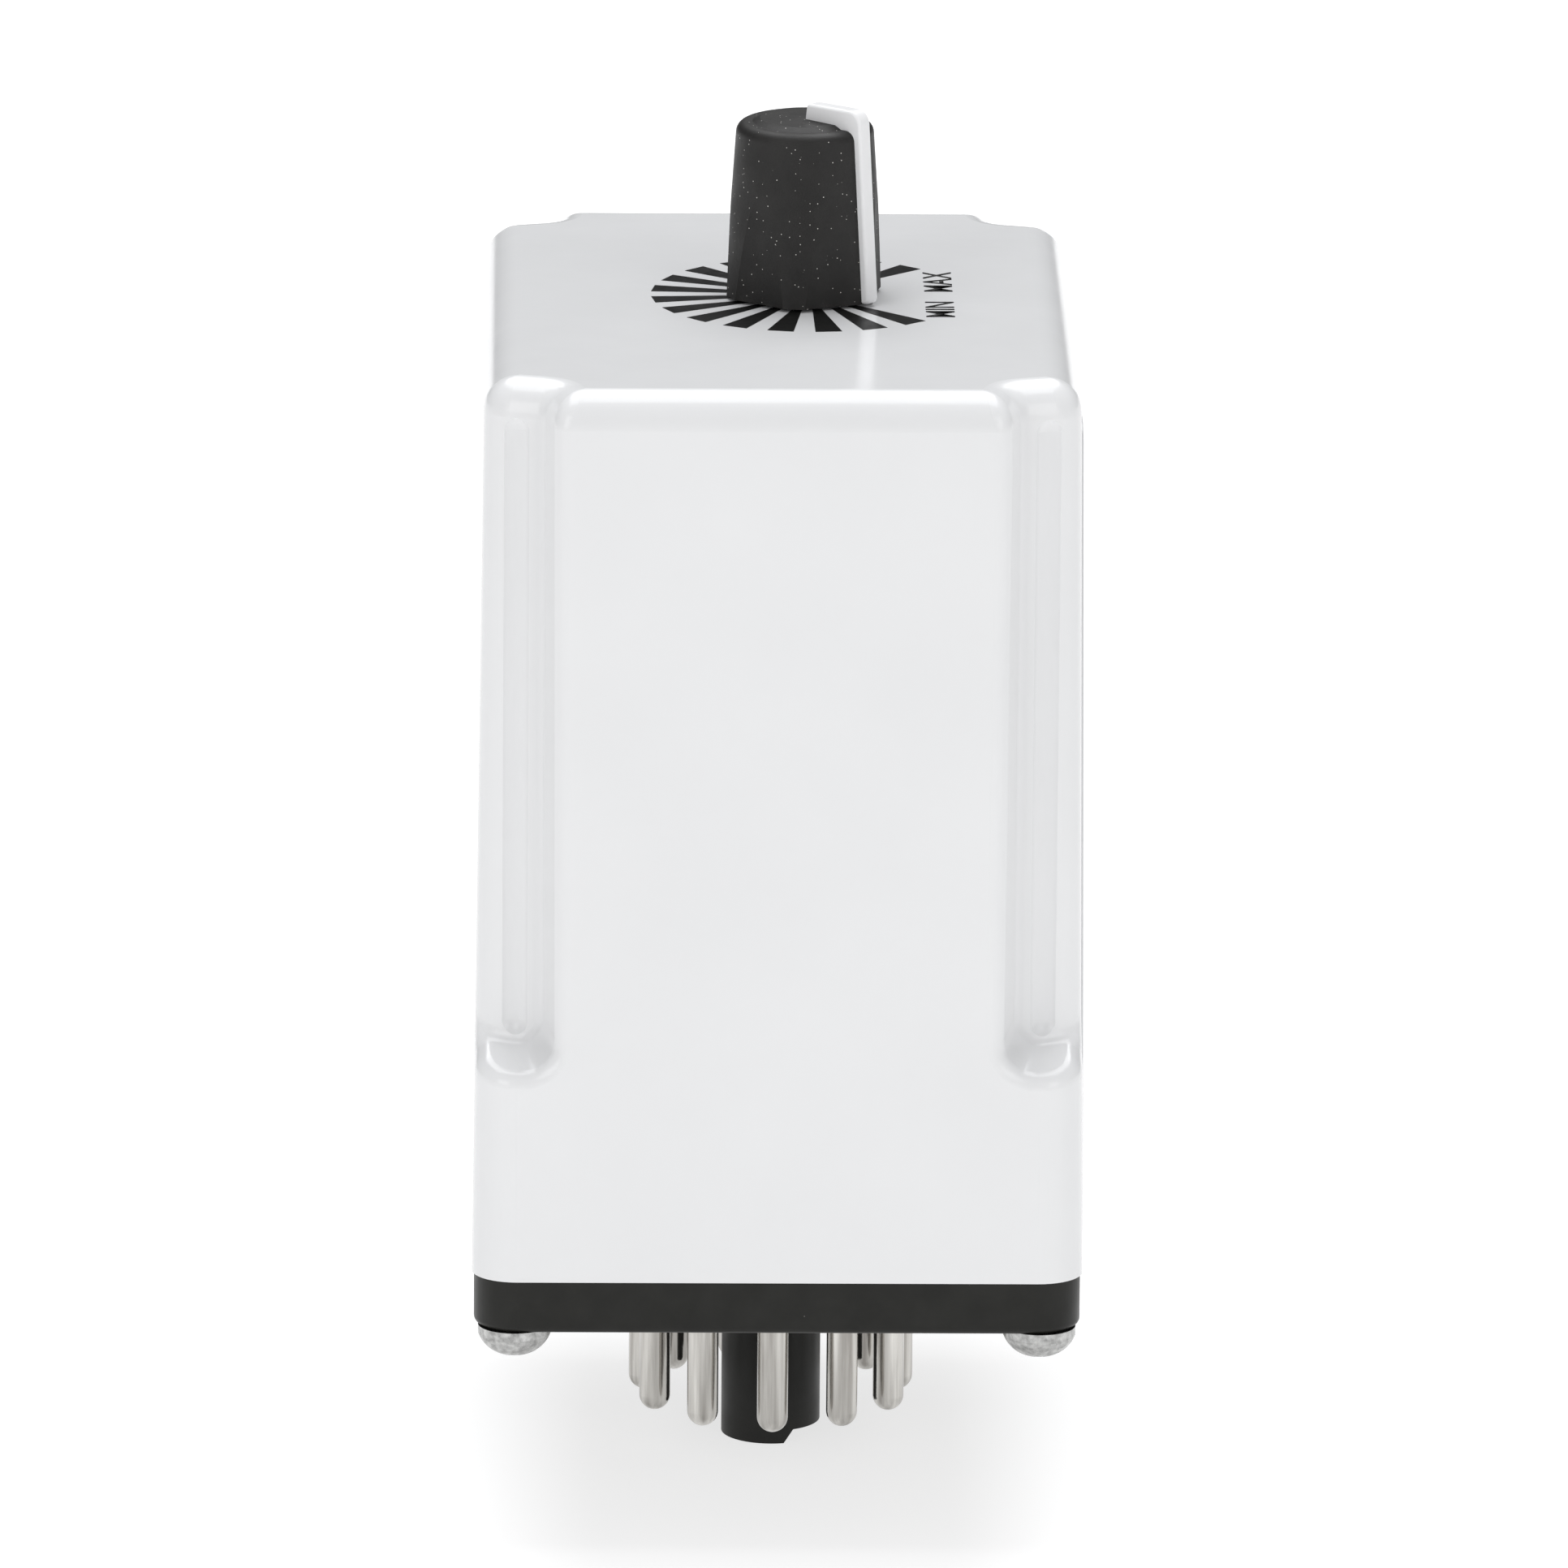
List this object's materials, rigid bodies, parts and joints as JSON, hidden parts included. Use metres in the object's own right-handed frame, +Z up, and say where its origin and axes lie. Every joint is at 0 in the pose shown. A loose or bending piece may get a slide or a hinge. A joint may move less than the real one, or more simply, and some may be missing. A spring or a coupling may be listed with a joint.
{
  "type": "plug-in time delay relay",
  "caption": "Boxy plug-in timer relay: grey moulded case with corner recesses, black base with round pins about a key post, and a pointer knob that sets the delay.",
  "frame": {"origin": "centre of the pin circle, on the underside of the base plate", "axes": "+Z up out of the top of the case, along the pins and the key post; +X to the right with the pointer knob's MIN and MAX marks; +Y to the rear, where the key rib is"},
  "size_m": [0.0446, 0.0608, 0.1012],
  "materials": {
    "case_plastic": "glossy light grey-white moulded plastic",
    "label_film": "thin printed film, satin",
    "base_phenolic": "satin black phenolic moulding",
    "pin_plating": "bright tin plating on brass",
    "screw_zinc": "bright zinc plating",
    "knob_soft": "charcoal soft-touch plastic, fine specks",
    "pointer_white": "white moulded plastic, satin",
    "shaft_metal": "turned nickel-plated steel",
    "pot_metal": "drawn steel can",
    "pot_phenolic": "brown phenolic",
    "carbon": "carbon resistive film",
    "board_green": "green glass-epoxy board",
    "black_plastic": "black moulded plastic",
    "contact_silver": "silver-plated copper alloy",
    "relay_clear": "clear polycarbonate cover",
    "relay_steel": "nickel-plated soft iron",
    "bobbin_plastic": "natural nylon",
    "copper_wire": "enamelled copper winding",
    "resistor_body": "beige resistor lacquer",
    "film_yellow": "yellow film capacitor case",
    "disc_blue": "blue epoxy coat",
    "can_sleeve": "dark blue capacitor sleeve",
    "header_black": "black header plastic",
    "spring_steel": "bright spring wire"
  },
  "bodies": {
    "housing": {"case_shell": "case_plastic", "side_label": "label_film", "base_plate": "base_phenolic", "base_screws": "screw_zinc", "pot_housing": "pot_metal", "pot_faceplate": "pot_metal", "pot_element": "carbon", "pot_terminals": "contact_silver", "base_board": "board_green", "timing_board": "board_green", "board_header": "header_black", "header_pins": "contact_silver", "relay_base": "black_plastic", "relay_cover": "relay_clear", "relay_yoke": "relay_steel", "relay_core": "relay_steel", "relay_bobbin": "bobbin_plastic", "relay_winding": "copper_wire", "relay_coil_leads": "contact_silver", "relay_nc_contacts": "contact_silver", "relay_no_contacts": "contact_silver", "relay_common_blades": "contact_silver", "relay_pigtails": "copper_wire", "relay_return_spring": "spring_steel", "supply_capacitor": "can_sleeve", "timing_capacitor": "film_yellow", "timing_chip": "black_plastic", "timing_chip_legs": "contact_silver", "dropping_resistor": "resistor_body", "small_resistors": "resistor_body", "diodes": "black_plastic", "driver_transistor": "black_plastic", "varistor": "disc_blue", "plug_pin_01": "pin_plating", "plug_pin_02": "pin_plating", "plug_pin_03": "pin_plating", "plug_pin_04": "pin_plating", "plug_pin_05": "pin_plating", "plug_pin_06": "pin_plating", "plug_pin_07": "pin_plating", "plug_pin_08": "pin_plating", "plug_pin_09": "pin_plating", "plug_pin_10": "pin_plating", "plug_pin_11": "pin_plating"},
    "knob": {"knob_body": "knob_soft", "knob_pointer": "pointer_white", "pot_shaft": "shaft_metal", "pot_rotor": "pot_phenolic", "pot_wiper": "contact_silver"},
    "armature": {"relay_armature": "relay_steel", "relay_carrier": "bobbin_plastic", "relay_moving_blades": "contact_silver"}
  },
  "joints": [
    {"name": "knob_turn", "type": "hinge", "parent": "housing", "child": "knob", "pos_m": [0.00185, 0.00168, 0.07], "axis": [0, 0, -1], "range_deg": [0, 282]},
    {"name": "armature_pivot", "type": "hinge", "parent": "housing", "child": "armature", "pos_m": [-0.00975, 0.0095, 0.037], "axis": [0, 1, 0], "range_deg": [0, 4], "stiffness_Nm_per_rad": 0.02, "springref_deg": -5.73, "deforming": ["relay_return_spring", "relay_pigtails"]}
  ]
}
